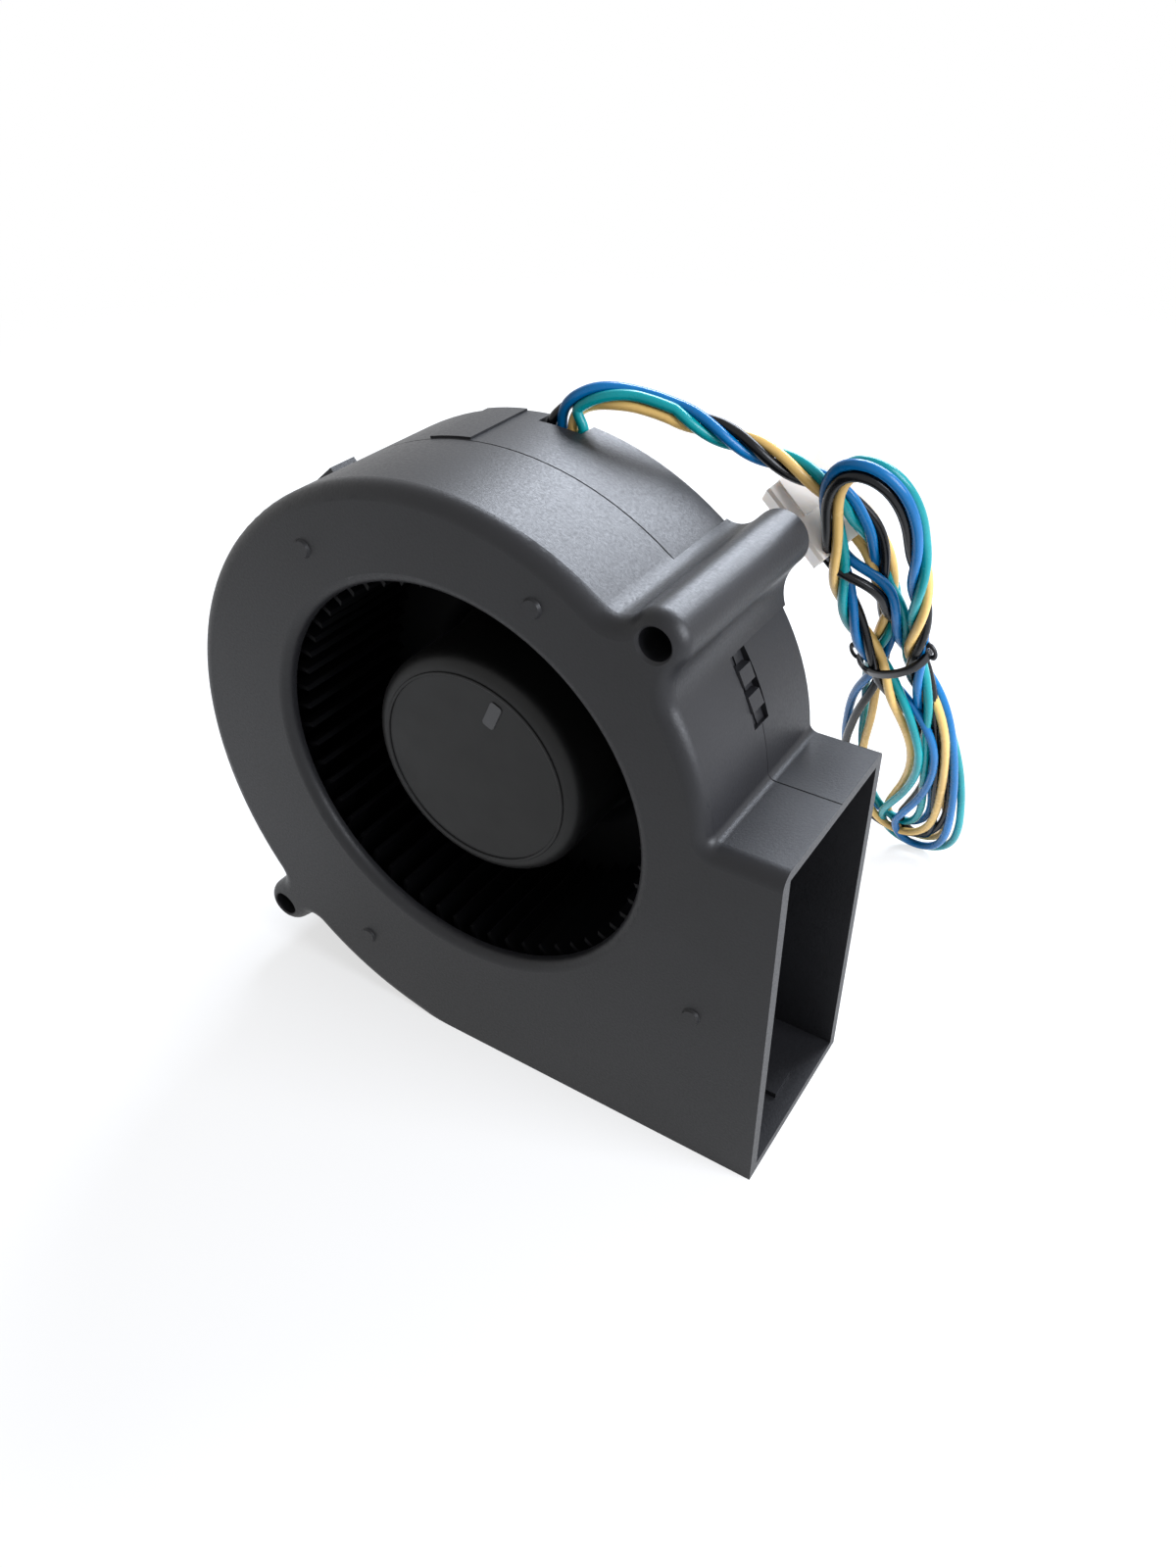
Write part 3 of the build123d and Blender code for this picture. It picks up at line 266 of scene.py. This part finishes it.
@dataclass
class Studio:
    """The camera at the photograph's viewing angle, the floor and the lights.

    Places are in millimetres. The pool is the ring in metres over which the floor turns white.
    """

    camera_place: tuple[float, float, float] = (85.53, -95.6, 95.17)
    camera_forward: tuple[float, float, float] = (-0.43699, 0.67133, -0.59862)
    camera_up: tuple[float, float, float] = (-0.31619, 0.5084, 0.80097)
    lens: float = 26.78
    sensor_width: float = 36.0
    nearest: float = 0.005
    shift: tuple[float, float] = (-0.00327, 0.0003)
    floor_z: float = -50.7
    floor_reach: float = 3.0
    floor_tone: float = 0.97
    pool: tuple[float, float] = (0.16, 0.5)
    floor_glow: float = 0.65
    ambient: float = 0.45

    def make_camera(self) -> None:
        """Places the camera."""
        data = bpy.data.cameras.new("camera")
        data.lens = self.lens
        data.sensor_width = self.sensor_width
        data.shift_x, data.shift_y = self.shift
        data.clip_start = self.nearest
        camera = bpy.data.objects.new("camera", data)
        bpy.context.scene.collection.objects.link(camera)
        back = -Vector(self.camera_forward).normalized()
        right = Vector(self.camera_up).cross(back).normalized()
        up = back.cross(right)
        turn = Matrix((right, up, back)).transposed().to_4x4()
        camera.matrix_world = Matrix.Translation(metres(self.camera_place)) @ turn
        bpy.context.scene.camera = camera

    def make_floor(self) -> None:
        """Lays a wide pale floor under the blower."""
        mesh = bpy.data.meshes.new("floor")
        shape = bmesh.new()
        bmesh.ops.create_grid(shape, x_segments=1, y_segments=1, size=self.floor_reach)
        bmesh.ops.translate(shape, verts=shape.verts, vec=(0.0, 0.0, self.floor_z * MM))
        shape.to_mesh(mesh)
        shape.free()
        floor = bpy.data.objects.new("floor", mesh)
        bpy.context.scene.collection.objects.link(floor)
        nodes = Nodes("pale_floor")
        nodes.set("Base Color", (*(self.floor_tone,) * 3, 1.0))
        nodes.set("Roughness", 0.9)
        nodes.set("Specular IOR Level", 0.1)
        away = nodes.tree.nodes.new("ShaderNodeVectorMath")
        away.operation = "LENGTH"
        nodes.link(nodes.place, away.inputs[0])
        share = nodes.tree.nodes.new("ShaderNodeMapRange")
        share.interpolation_type = "SMOOTHSTEP"
        share.inputs["From Min"].default_value = self.pool[0]
        share.inputs["From Max"].default_value = self.pool[1]
        share.inputs["To Min"].default_value = self.floor_glow
        nodes.link(away.outputs["Value"], share.inputs["Value"])
        masked = nodes.tree.nodes.new("ShaderNodeMath")
        masked.operation = "MULTIPLY"
        nodes.link(self.seen_rays(nodes.tree), masked.inputs[0])
        nodes.link(share.outputs["Result"], masked.inputs[1])
        white = nodes.tree.nodes.new("ShaderNodeEmission")
        white.inputs["Strength"].default_value = 1.0
        white.inputs["Color"].default_value = (1.0, 1.0, 1.0, 1.0)
        mix = nodes.tree.nodes.new("ShaderNodeMixShader")
        nodes.link(masked.outputs["Value"], mix.inputs["Fac"])
        nodes.link(nodes.shader.outputs["BSDF"], mix.inputs[1])
        nodes.link(white.outputs["Emission"], mix.inputs[2])
        nodes.link(mix.outputs["Shader"], nodes.output.inputs["Surface"])
        mesh.materials.append(nodes.material)

    def seen_rays(self, tree: bpy.types.NodeTree) -> bpy.types.NodeSocket:
        """A socket that is 1 for rays from the camera, a shiny surface or through a clear one."""
        rays = tree.nodes.new("ShaderNodeLightPath")
        seen = rays.outputs["Is Camera Ray"]
        for other in ("Is Glossy Ray", "Is Transmission Ray"):
            either = tree.nodes.new("ShaderNodeMath")
            either.operation = "MAXIMUM"
            tree.links.new(seen, either.inputs[0])
            tree.links.new(rays.outputs[other], either.inputs[1])
            seen = either.outputs["Value"]
        return seen

    def make_lamp(
        self, name: str, place: tuple[float, float, float], aim: tuple[float, float, float],
        size: tuple[float, float], power: float, colour: tuple[float, float, float],
    ) -> None:
        """Hangs one soft light.

        Args:
            name: the light's name.
            place: where it hangs, in millimetres.
            aim: the point it faces, in millimetres.
            size: its width and height in metres.
            power: its power in watts.
            colour: its colour.
        """
        data = bpy.data.lights.new(name, "AREA")
        data.shape = "RECTANGLE"
        data.size, data.size_y = size
        data.energy = power
        data.color = colour
        lamp = bpy.data.objects.new(name, data)
        bpy.context.scene.collection.objects.link(lamp)
        facing = (metres(aim) - metres(place)).to_track_quat("-Z", "Y")
        lamp.matrix_world = Matrix.Translation(metres(place)) @ facing.to_matrix().to_4x4()

    def make_world(self) -> None:
        """Gives a white backdrop, and a softer light on the object."""
        world = bpy.data.worlds.new("studio")
        world.use_nodes = True
        tree = world.node_tree
        tree.nodes.clear()
        output = tree.nodes.new("ShaderNodeOutputWorld")
        mix = tree.nodes.new("ShaderNodeMixShader")
        tree.links.new(self.seen_rays(tree), mix.inputs["Fac"])
        for slot, strength in ((1, self.ambient), (2, 1.0)):
            light = tree.nodes.new("ShaderNodeBackground")
            light.inputs["Strength"].default_value = strength
            light.inputs["Color"].default_value = (1.0, 1.0, 1.0, 1.0)
            tree.links.new(light.outputs["Background"], mix.inputs[slot])
        tree.links.new(mix.outputs["Shader"], output.inputs["Surface"])
        bpy.context.scene.world = world

    def build(self) -> None:
        """Sets the lights, floor and world."""
        self.make_floor()
        self.make_world()
        self.make_lamp(
            "overhead", place=(10.0, 400.0, 330.0), aim=(10.0, 10.0, 20.0),
            size=(0.42, 0.2), power=5.6, colour=(0.83, 0.89, 1.0),
        )
        self.make_lamp(
            "side", place=(400.0, 20.0, 190.0), aim=(40.0, 0.0, -10.0),
            size=(0.25, 0.25), power=3.0, colour=(0.88, 0.92, 1.0),
        )
        bpy.context.scene.view_settings.view_transform = "Standard"


@dataclass
class Lead:
    """The free lead: four twisted wires, folded into two long loops and tied at the waist.

    Lengths are in millimetres and angles in degrees. The route is the same as in the part's
    source. The loops go on from it, each point given across, down and behind the hank's top.
    """

    wire_diameter: float = 1.45
    bundle_diameter: float = 3.75
    wire_row_pitch: float = 1.65
    wire_row_depth: float = 28.475
    turns: tuple[float, ...] = (123.0, 213.0, 33.0, 303.0)
    unwind: float = 104.0
    unwind_reach: float = 12.0
    twist_start: float = 17.0
    twist_pitch: tuple[float, float] = (21.0, 30.0)
    tightest_reach: float = 39.0
    fold_twist: float = 0.25
    fold_zone: tuple[float, float] = (8.0, 16.0)
    loose_zone: tuple[float, float] = (44.0, 60.0)
    loose_pitch: float = 190.0
    wobble: tuple[float, float, float] = (0.14, 0.09, 1.9)
    start_zone: tuple[float, float] = (0.0, 4.0)
    end_zone: tuple[float, float] = (2.5, 12.0)
    tight_offset: float = 1.04
    loose_reach: tuple[float, float] = (2.2, 1.2)
    hank_top: tuple[float, float, float] = (39.2, 39.0, 40.0)
    hank_lean: float = 26.7
    route: tuple[tuple[float, float, float], ...] = (
        (1.5, 28.7, 41.4),
        (1.5, 28.7, 43.1),
        (2.8, 29.2, 44.9),
        (6.0, 30.4, 46.0),
        (11.5, 32.5, 45.4),
        (18.0, 35.0, 42.8),
        (25.0, 38.0, 39.7),
        (31.0, 40.2, 37.0),
        (35.0, 41.6, 34.6),
    )
    loops: tuple[tuple[float, float, float], ...] = (
        (-3.0, 9.5, 1.0), (-1.0, 14.0, 1.9), (0.2, 20.0, 1.9), (0.8, 27.0, 1.6),
        (0.2, 34.0, 1.4), (-1.0, 40.0, 1.2), (-2.2, 45.5, 0.8), (-3.8, 52.0, 0.4),
        (-5.4, 59.6, 0.2), (-7.0, 68.0, 0.0), (-7.4, 76.0, 0.0), (-6.8, 84.5, 0.0),
        (-5.0, 91.0, 0.0), (-1.6, 95.0, 0.0), (2.6, 95.2, 0.0), (5.8, 91.4, 0.0),
        (7.4, 85.0, 0.0),
        (7.9, 77.0, 0.0), (8.0, 68.0, 0.0), (7.6, 59.0, 0.0), (6.6, 50.0, 0.2),
        (5.2, 43.0, 0.2), (4.9, 38.0, -0.1), (5.7, 30.0, 0.0), (6.2, 22.0, -0.2),
        (6.1, 13.0, -0.4), (5.7, 6.0, -0.6), (3.7, 1.0, -0.8), (0.4, -1.2, -1.0),
        (-2.8, -0.4, -1.3), (-4.9, 3.8, -1.5), (-5.2, 10.0, -1.7),
        (-4.9, 17.0, -1.9), (-4.3, 25.0, -2.0),
        (-2.8, 32.5, -1.8), (-0.7, 38.5, -1.5), (1.4, 45.0, -1.7), (4.4, 52.0, -1.7),
        (6.4, 60.0, -1.5), (6.2, 68.5, -1.3), (4.3, 77.0, -1.0), (1.4, 84.5, -0.8),
        (-0.9, 90.4, -0.4), (-0.4, 95.8, 0.0), (2.0, 98.6, 0.0), (5.6, 98.6, 0.0),
        (8.6, 95.6, 0.0), (9.8, 89.6, 0.0), (10.0, 82.0, 0.2), (9.9, 72.0, 0.6),
        (9.1, 62.0, 1.0),
        (7.5, 52.0, 1.5), (5.2, 44.0, 1.8), (3.4, 38.0, 1.7), (2.8, 31.5, 0.6),
        (2.0, 26.0, -0.3), (0.6, 21.6, -0.4), (-2.0, 18.6, 0.1), (-4.7, 16.8, 1.3),
    )
    connector_across: tuple[float, float, float] = (0.484, 0.737, 0.472)
    connector_mouth: tuple[float, float, float] = (-0.758, 0.084, 0.647)
    cavity_pitch: float = 2.44
    cavity_reach: float = 1.5
    line: list[Vector] = field(default_factory=list)

    def on_hank(self, sideways: float, down: float, behind: float) -> Vector:
        """A point of the hank in metres, from its place across, down and behind its top."""
        lean = math.radians(self.hank_lean)
        return metres((
            self.hank_top[0] + sideways,
            self.hank_top[1] + down * math.sin(lean) + behind * math.cos(lean),
            self.hank_top[2] - down * math.cos(lean) + behind * math.sin(lean),
        ))

    def length(self) -> float:
        """The length of the line in metres."""
        return sum((b - a).length for a, b in zip(self.line, self.line[1:]))

    def distance_down(self, point: Vector) -> float:
        """How far down the hank a point lies, in millimetres."""
        lean = math.radians(self.hank_lean)
        away = point / MM - Vector(self.hank_top)
        return away.y * math.sin(lean) - away.z * math.cos(lean)

    def make_line(self) -> None:
        """Follows the route and the loops with one smooth spline, and keeps its points."""
        points = [metres(p) for p in self.route] + [self.on_hank(*p) for p in self.loops]
        inward = Vector(self.connector_mouth) * self.cavity_reach * MM
        points.append(points[-1] + inward)
        data = bpy.data.curves.new("lead_line", "CURVE")
        data.dimensions = "3D"
        data.resolution_u = 10
        spline = data.splines.new("NURBS")
        spline.points.add(len(points) - 1)
        for knot, point in zip(spline.points, points):
            knot.co = (*point, 1.0)
        spline.order_u = 3
        spline.use_endpoint_u = True
        curve = bpy.data.objects.new("lead_line", data)
        bpy.context.scene.collection.objects.link(curve)
        bpy.context.view_layer.update()
        mesh = bpy.data.meshes.new_from_object(curve)
        self.line = [v.co.copy() for v in mesh.vertices]
        bpy.data.meshes.remove(mesh)
        bpy.data.objects.remove(curve)

    def wire_points(self, number: int) -> list[Vector]:
        """The centreline of one wire of the bundle.

        Args:
            number: which wire, from 0.

        Returns:
            Its points in metres.
        """
        lean = math.radians(self.hank_lean)
        plane = Vector((0.0, math.cos(lean), math.sin(lean)))
        row_place = number - (len(WireColour) - 1) / 2.0
        start_row = Vector((
            row_place * self.wire_row_pitch * MM,
            self.wire_row_depth * MM - self.line[0].y,
            0.0,
        ))
        end_row = Vector(self.connector_across) * row_place * self.cavity_pitch * MM
        total = self.length() / MM
        angle = math.radians(self.turns[number])
        gone = 0.0
        points = []
        for index, point in enumerate(self.line):
            before = self.line[max(0, index - 1)]
            after = self.line[min(len(self.line) - 1, index + 1)]
            along = (after - before).normalized()
            inward = plane.cross(along).normalized()
            outward = along.cross(inward)
            step = (point - before).length / MM
            gone += step
            down = self.distance_down(point)
            loose = smooth_step(*self.loose_zone, down)
            if gone > self.twist_start:
                pitch = self.twist_pitch[0 if gone < self.tightest_reach else 1]
                rate = (1.0 - loose) / pitch + loose / self.loose_pitch
                if gone > 2.0 * self.tightest_reach:
                    below = smooth_step(*self.fold_zone, down)
                    rate *= self.fold_twist + (1.0 - self.fold_twist) * below
                angle += 2.0 * math.pi * step * rate
            turn = angle - math.radians(self.unwind) * smooth_step(0.0, self.unwind_reach, gone)
            share, wave, phase = self.wobble
            wobble = 1.0 + share * loose * math.sin(gone * wave + phase * number)
            reach = [
                (self.tight_offset * (1.0 - loose) + spread * loose) * wobble * MM
                for spread in self.loose_reach
            ]
            offset = inward * reach[0] * math.cos(turn) + outward * reach[1] * math.sin(turn)
            at_start = 1.0 - smooth_step(*self.start_zone, gone)
            at_end = 1.0 - smooth_step(*self.end_zone, total - gone)
            offset *= 1.0 - at_start - at_end
            points.append(point + offset + start_row * at_start + end_row * at_end)
        return points

    def make_wires(self) -> bpy.types.Object:
        """Runs the four wires along the line as one piece, a material for each."""
        whole = bmesh.new()
        mesh = bpy.data.meshes.new("lead_wires")
        for number, colour in enumerate(WireColour):
            points = self.wire_points(number)
            data = bpy.data.curves.new("wire", "CURVE")
            data.dimensions = "3D"
            data.bevel_depth = self.wire_diameter / 2.0 * MM
            data.bevel_resolution = 2
            data.use_fill_caps = True
            spline = data.splines.new("POLY")
            spline.points.add(len(points) - 1)
            for knot, point in zip(spline.points, points):
                knot.co = (*point, 1.0)
            spline.use_smooth = True
            curve = bpy.data.objects.new("wire", data)
            bpy.context.scene.collection.objects.link(curve)
            bpy.context.view_layer.update()
            sleeve = bpy.data.meshes.new_from_object(curve)
            first = len(whole.faces)
            whole.from_mesh(sleeve)
            whole.faces.ensure_lookup_table()
            for face in whole.faces[first:]:
                face.material_index = number
                face.smooth = True
            bpy.data.meshes.remove(sleeve)
            bpy.data.objects.remove(curve)
            name = colour.name.lower() + "_wire"
            mesh.materials.append(Insulation(name, colour.value).make())
        whole.to_mesh(mesh)
        whole.free()
        wires = bpy.data.objects.new("lead_wires", mesh)
        bpy.context.scene.collection.objects.link(wires)
        return wires

    def build(self) -> None:
        self.make_line()
        wires = self.make_wires()
        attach(wires, "housing")
        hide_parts("lead", "lead_hank", "connector_leads")
        Tie(self).build()
        LOG.info("lead_wires: %.0f mm of four wires", self.length() / MM)


@dataclass
class Tie:
    """The thin tie round the waist of the hank, with a small eyelet at each end."""

    lead: Lead
    place: tuple[float, float, float] = (1.65, 38.6, 0.0)
    half_size: tuple[float, float] = (5.8, 3.9)
    tilt: float = 24.0
    strap: tuple[float, float] = (0.7, 1.3)
    steps: int = 72
    eyelet_radius: float = 0.72
    eyelet_thickness: float = 0.3
    eyelet_stretch: float = 1.6
    eyelet_gap: float = 0.75
    eyelet_turn: float = 75.0
    eyelet_segments: int = 10
    eyelet_steps: int = 20

    def make_strap(self, shape: bmesh.types.BMesh) -> None:
        """Spins the flat strap's section and lays the ring on an ellipse."""
        radius = self.half_size[0]
        corners = [
            shape.verts.new((radius + a * self.strap[0] / 2.0, 0.0, b * self.strap[1] / 2.0))
            for a, b in ((-1, -1), (1, -1), (1, 1), (-1, 1))
        ]
        shape.faces.new(corners)
        bmesh.ops.bevel(
            shape, geom=corners, offset=self.strap[0] / 5.0, affect="VERTICES",
            segments=2, profile=0.5, material=-1, offset_type="OFFSET",
        )
        section = list(shape.faces) + list(shape.edges) + list(shape.verts)
        bmesh.ops.spin(
            shape, geom=section, cent=(0.0, 0.0, 0.0), axis=(0.0, 0.0, 1.0),
            angle=2.0 * math.pi, steps=self.steps, use_merge=True, use_duplicate=False,
        )
        for vert in shape.verts:
            out = math.hypot(vert.co.x, vert.co.y) - radius
            across, deep = vert.co.x / (radius + out), vert.co.y / (radius + out)
            normal = Vector((across * self.half_size[1], deep * radius)).normalized()
            vert.co.x = across * radius + out * normal.x
            vert.co.y = deep * self.half_size[1] + out * normal.y

    def make_eyelet(self, shape: bmesh.types.BMesh, side: int) -> None:
        """Adds the small ring at one end.

        Args:
            shape: the mesh that it joins.
            side: -1 for the left end and 1 for the right.
        """
        earlier = set(shape.verts)
        made = bmesh.ops.create_circle(
            shape, segments=self.eyelet_segments, radius=self.eyelet_thickness,
            matrix=Matrix.Translation((self.eyelet_radius, 0.0, 0.0))
            @ Matrix.Rotation(math.radians(90.0), 4, "X"),
        )
        rim = list({edge for vert in made["verts"] for edge in vert.link_edges})
        bmesh.ops.spin(
            shape, geom=made["verts"] + rim, cent=(0.0, 0.0, 0.0), axis=(0.0, 0.0, 1.0),
            angle=2.0 * math.pi, steps=self.eyelet_steps, use_merge=True, use_duplicate=False,
        )
        ring = [vert for vert in shape.verts if vert not in earlier]
        place = (side * (self.half_size[0] + self.eyelet_gap), 0.0, self.eyelet_radius)
        turn = Matrix.Translation(place) @ Matrix.Rotation(math.radians(self.eyelet_turn), 4, "X")
        stretch = Matrix.Scale(self.eyelet_stretch, 4, (0.0, 1.0, 0.0))
        bmesh.ops.transform(shape, matrix=turn @ stretch, verts=ring)

    def build(self) -> bpy.types.Object:
        shape = bmesh.new()
        self.make_strap(shape)
        for side in (-1, 1):
            self.make_eyelet(shape, side)
        bmesh.ops.recalc_face_normals(shape, faces=shape.faces)
        origin = self.lead.on_hank(*self.place)
        lean = math.radians(self.lead.hank_lean)
        across = Vector((1.0, 0.0, 0.0))
        deep = Vector((0.0, math.cos(lean), math.sin(lean)))
        up = across.cross(deep)
        axes = Matrix((across, deep, up)).transposed().to_4x4()
        tilt = Matrix.Rotation(-math.radians(self.tilt), 4, "Y")
        bmesh.ops.transform(
            shape, verts=shape.verts,
            matrix=Matrix.Translation(origin) @ axes @ tilt @ Matrix.Scale(MM, 4),
        )
        mesh = bpy.data.meshes.new("wire_tie")
        shape.to_mesh(mesh)
        shape.free()
        for face in mesh.polygons:
            face.use_smooth = True
        tie = bpy.data.objects.new("wire_tie", mesh)
        bpy.context.scene.collection.objects.link(tie)
        mesh.materials.append(
            Moulding("tie_moulding", (0.006, 0.006, 0.008), 0.35, Grain.POLISHED).make()
        )
        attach(tie, "housing")
        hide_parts("twist_tie")
        LOG.info("wire_tie: %d faces", len(mesh.polygons))
        return tie


@dataclass
class Blower:
    """The finishes of the CAD pieces. A piece in shared has the finish of another one."""

    finishes: dict[str, Moulding | Metal | Insulation] = field(default_factory=lambda: {
        "front_cover": Moulding(
            "charcoal_moulding", (0.0105, 0.0105, 0.012), 0.43, Grain.SPARK, shine=0.3
        ),
        "impeller": Moulding("impeller_moulding", (0.008, 0.008, 0.008), 0.42, shine=0.23),
        "rotor_yoke": Metal("plated_yoke", (0.56, 0.57, 0.58)),
        "rotor_magnet": Moulding("bonded_ferrite", (0.05, 0.047, 0.045), 0.7),
        "rotor_bush": Metal("turned_brass", (0.78, 0.57, 0.26)),
        "shaft": Metal("ground_steel", (0.7, 0.71, 0.72), 0.15),
        "shaft_clip": Moulding("white_nylon", (0.8, 0.79, 0.75), 0.4),
        "bearing_sleeve": Metal("oiled_bronze", (0.5, 0.34, 0.18), 0.45),
        "stator_core": Metal("core_sheet", (0.4, 0.41, 0.42), 0.4, (200.0, 7000.0, 200.0)),
        "front_insulator": Moulding("cream_insulator", (0.78, 0.74, 0.62), 0.4),
        "stator_coils": Metal("enamelled_copper", (0.6, 0.24, 0.09), 0.25, (200.0, 3000.0, 200.0)),
        "circuit_board": Moulding("board_mask", (0.02, 0.16, 0.06), 0.3, Grain.POLISHED),
        "driver_chip": Moulding("chip_body", (0.02, 0.02, 0.02), 0.6),
        "board_parts": Moulding("ceramic_parts", (0.42, 0.3, 0.18), 0.4),
        "solder_joints": Metal("solder", (0.75, 0.75, 0.74), 0.2, (600.0, 600.0, 600.0)),
        "connector_housing": Moulding(
            "milky_nylon", (0.74, 0.68, 0.62), 0.38, Grain.POLISHED, milkiness=0.35
        ),
        "connector_contacts": Metal("tinned_contact", (0.72, 0.7, 0.66), 0.25),
    })
    shared: dict[str, str] = field(default_factory=lambda: {
        "rear_housing": "front_cover",
        "bearing_tube": "rotor_bush",
        "oil_ring": "shaft_clip",
        "thrust_pad": "shaft_clip",
        "rear_insulator": "front_insulator",
        "hall_sensor": "driver_chip",
    })
    impeller_shade_and_spot: tuple[Moulding, ...] = (
        # the blades are the same moulding as the hub; their darker colour and weak shine are
        # painted shade
        Moulding("blade_painted_shade", (0.002, 0.002, 0.0024), 0.5, shine=0.08),
        Moulding("balance_spot", (0.05, 0.05, 0.052), 0.35, Grain.POLISHED, shine=0.3),
    )
    hub_reach: float = 18.2
    balance_spot: tuple[float, float, float] = (4.25, 5.06, 10.45)
    spot_reach: float = 2.6
    wire_row: tuple[float, float] = (1.5, 1.65)

    def tone_impeller(self, piece: bpy.types.Object) -> None:
        """Gives the blades a darker, duller material than the hub, which is painted shade, and
        sets the glossy balance spot apart.
        """
        for tone in self.impeller_shade_and_spot:
            piece.data.materials.append(tone.make())
        spot = Vector(self.balance_spot)
        for face in piece.data.polygons:
            place = face.center / MM
            # faces beyond the hub take the blade material, which is painted shade
            if math.hypot(place.x, place.z) > self.hub_reach:
                face.material_index = 1
            elif (place - spot).length < self.spot_reach and place.y < spot.y:
                face.material_index = 2

    def tone_inner_leads(self, piece: bpy.types.Object) -> None:
        """Colours the four wires in the channel like those of the lead."""
        piece.data.materials.clear()
        for colour in WireColour:
            name = "inner_" + colour.name.lower()
            piece.data.materials.append(Insulation(name, colour.value).make())
        last = len(WireColour) - 1
        for face in piece.data.polygons:
            place = (face.center.x / MM - self.wire_row[0]) / self.wire_row[1] + last / 2.0
            face.material_index = min(last, max(0, round(place)))

    def dress(self) -> None:
        """Gives every CAD piece its material."""
        made = {node: finish.make() for node, finish in self.finishes.items()}
        self.tone_inner_leads(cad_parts["inner_leads"])
        for node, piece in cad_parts.items():
            material = made.get(self.shared.get(node, node))
            if material is None:
                continue
            piece.data.materials.clear()
            piece.data.materials.append(material)
            LOG.info("%s: %s", node, material.name)
        self.tone_impeller(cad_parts["impeller"])


def main() -> None:
    """Builds the scene: camera and lead first, then the blower and the studio."""
    logging.basicConfig(level=logging.INFO, format="%(message)s")
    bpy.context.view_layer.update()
    studio = Studio()
    studio.make_camera()
    Lead().build()
    Blower().dress()
    studio.build()


if __name__ == "__main__":
    main()
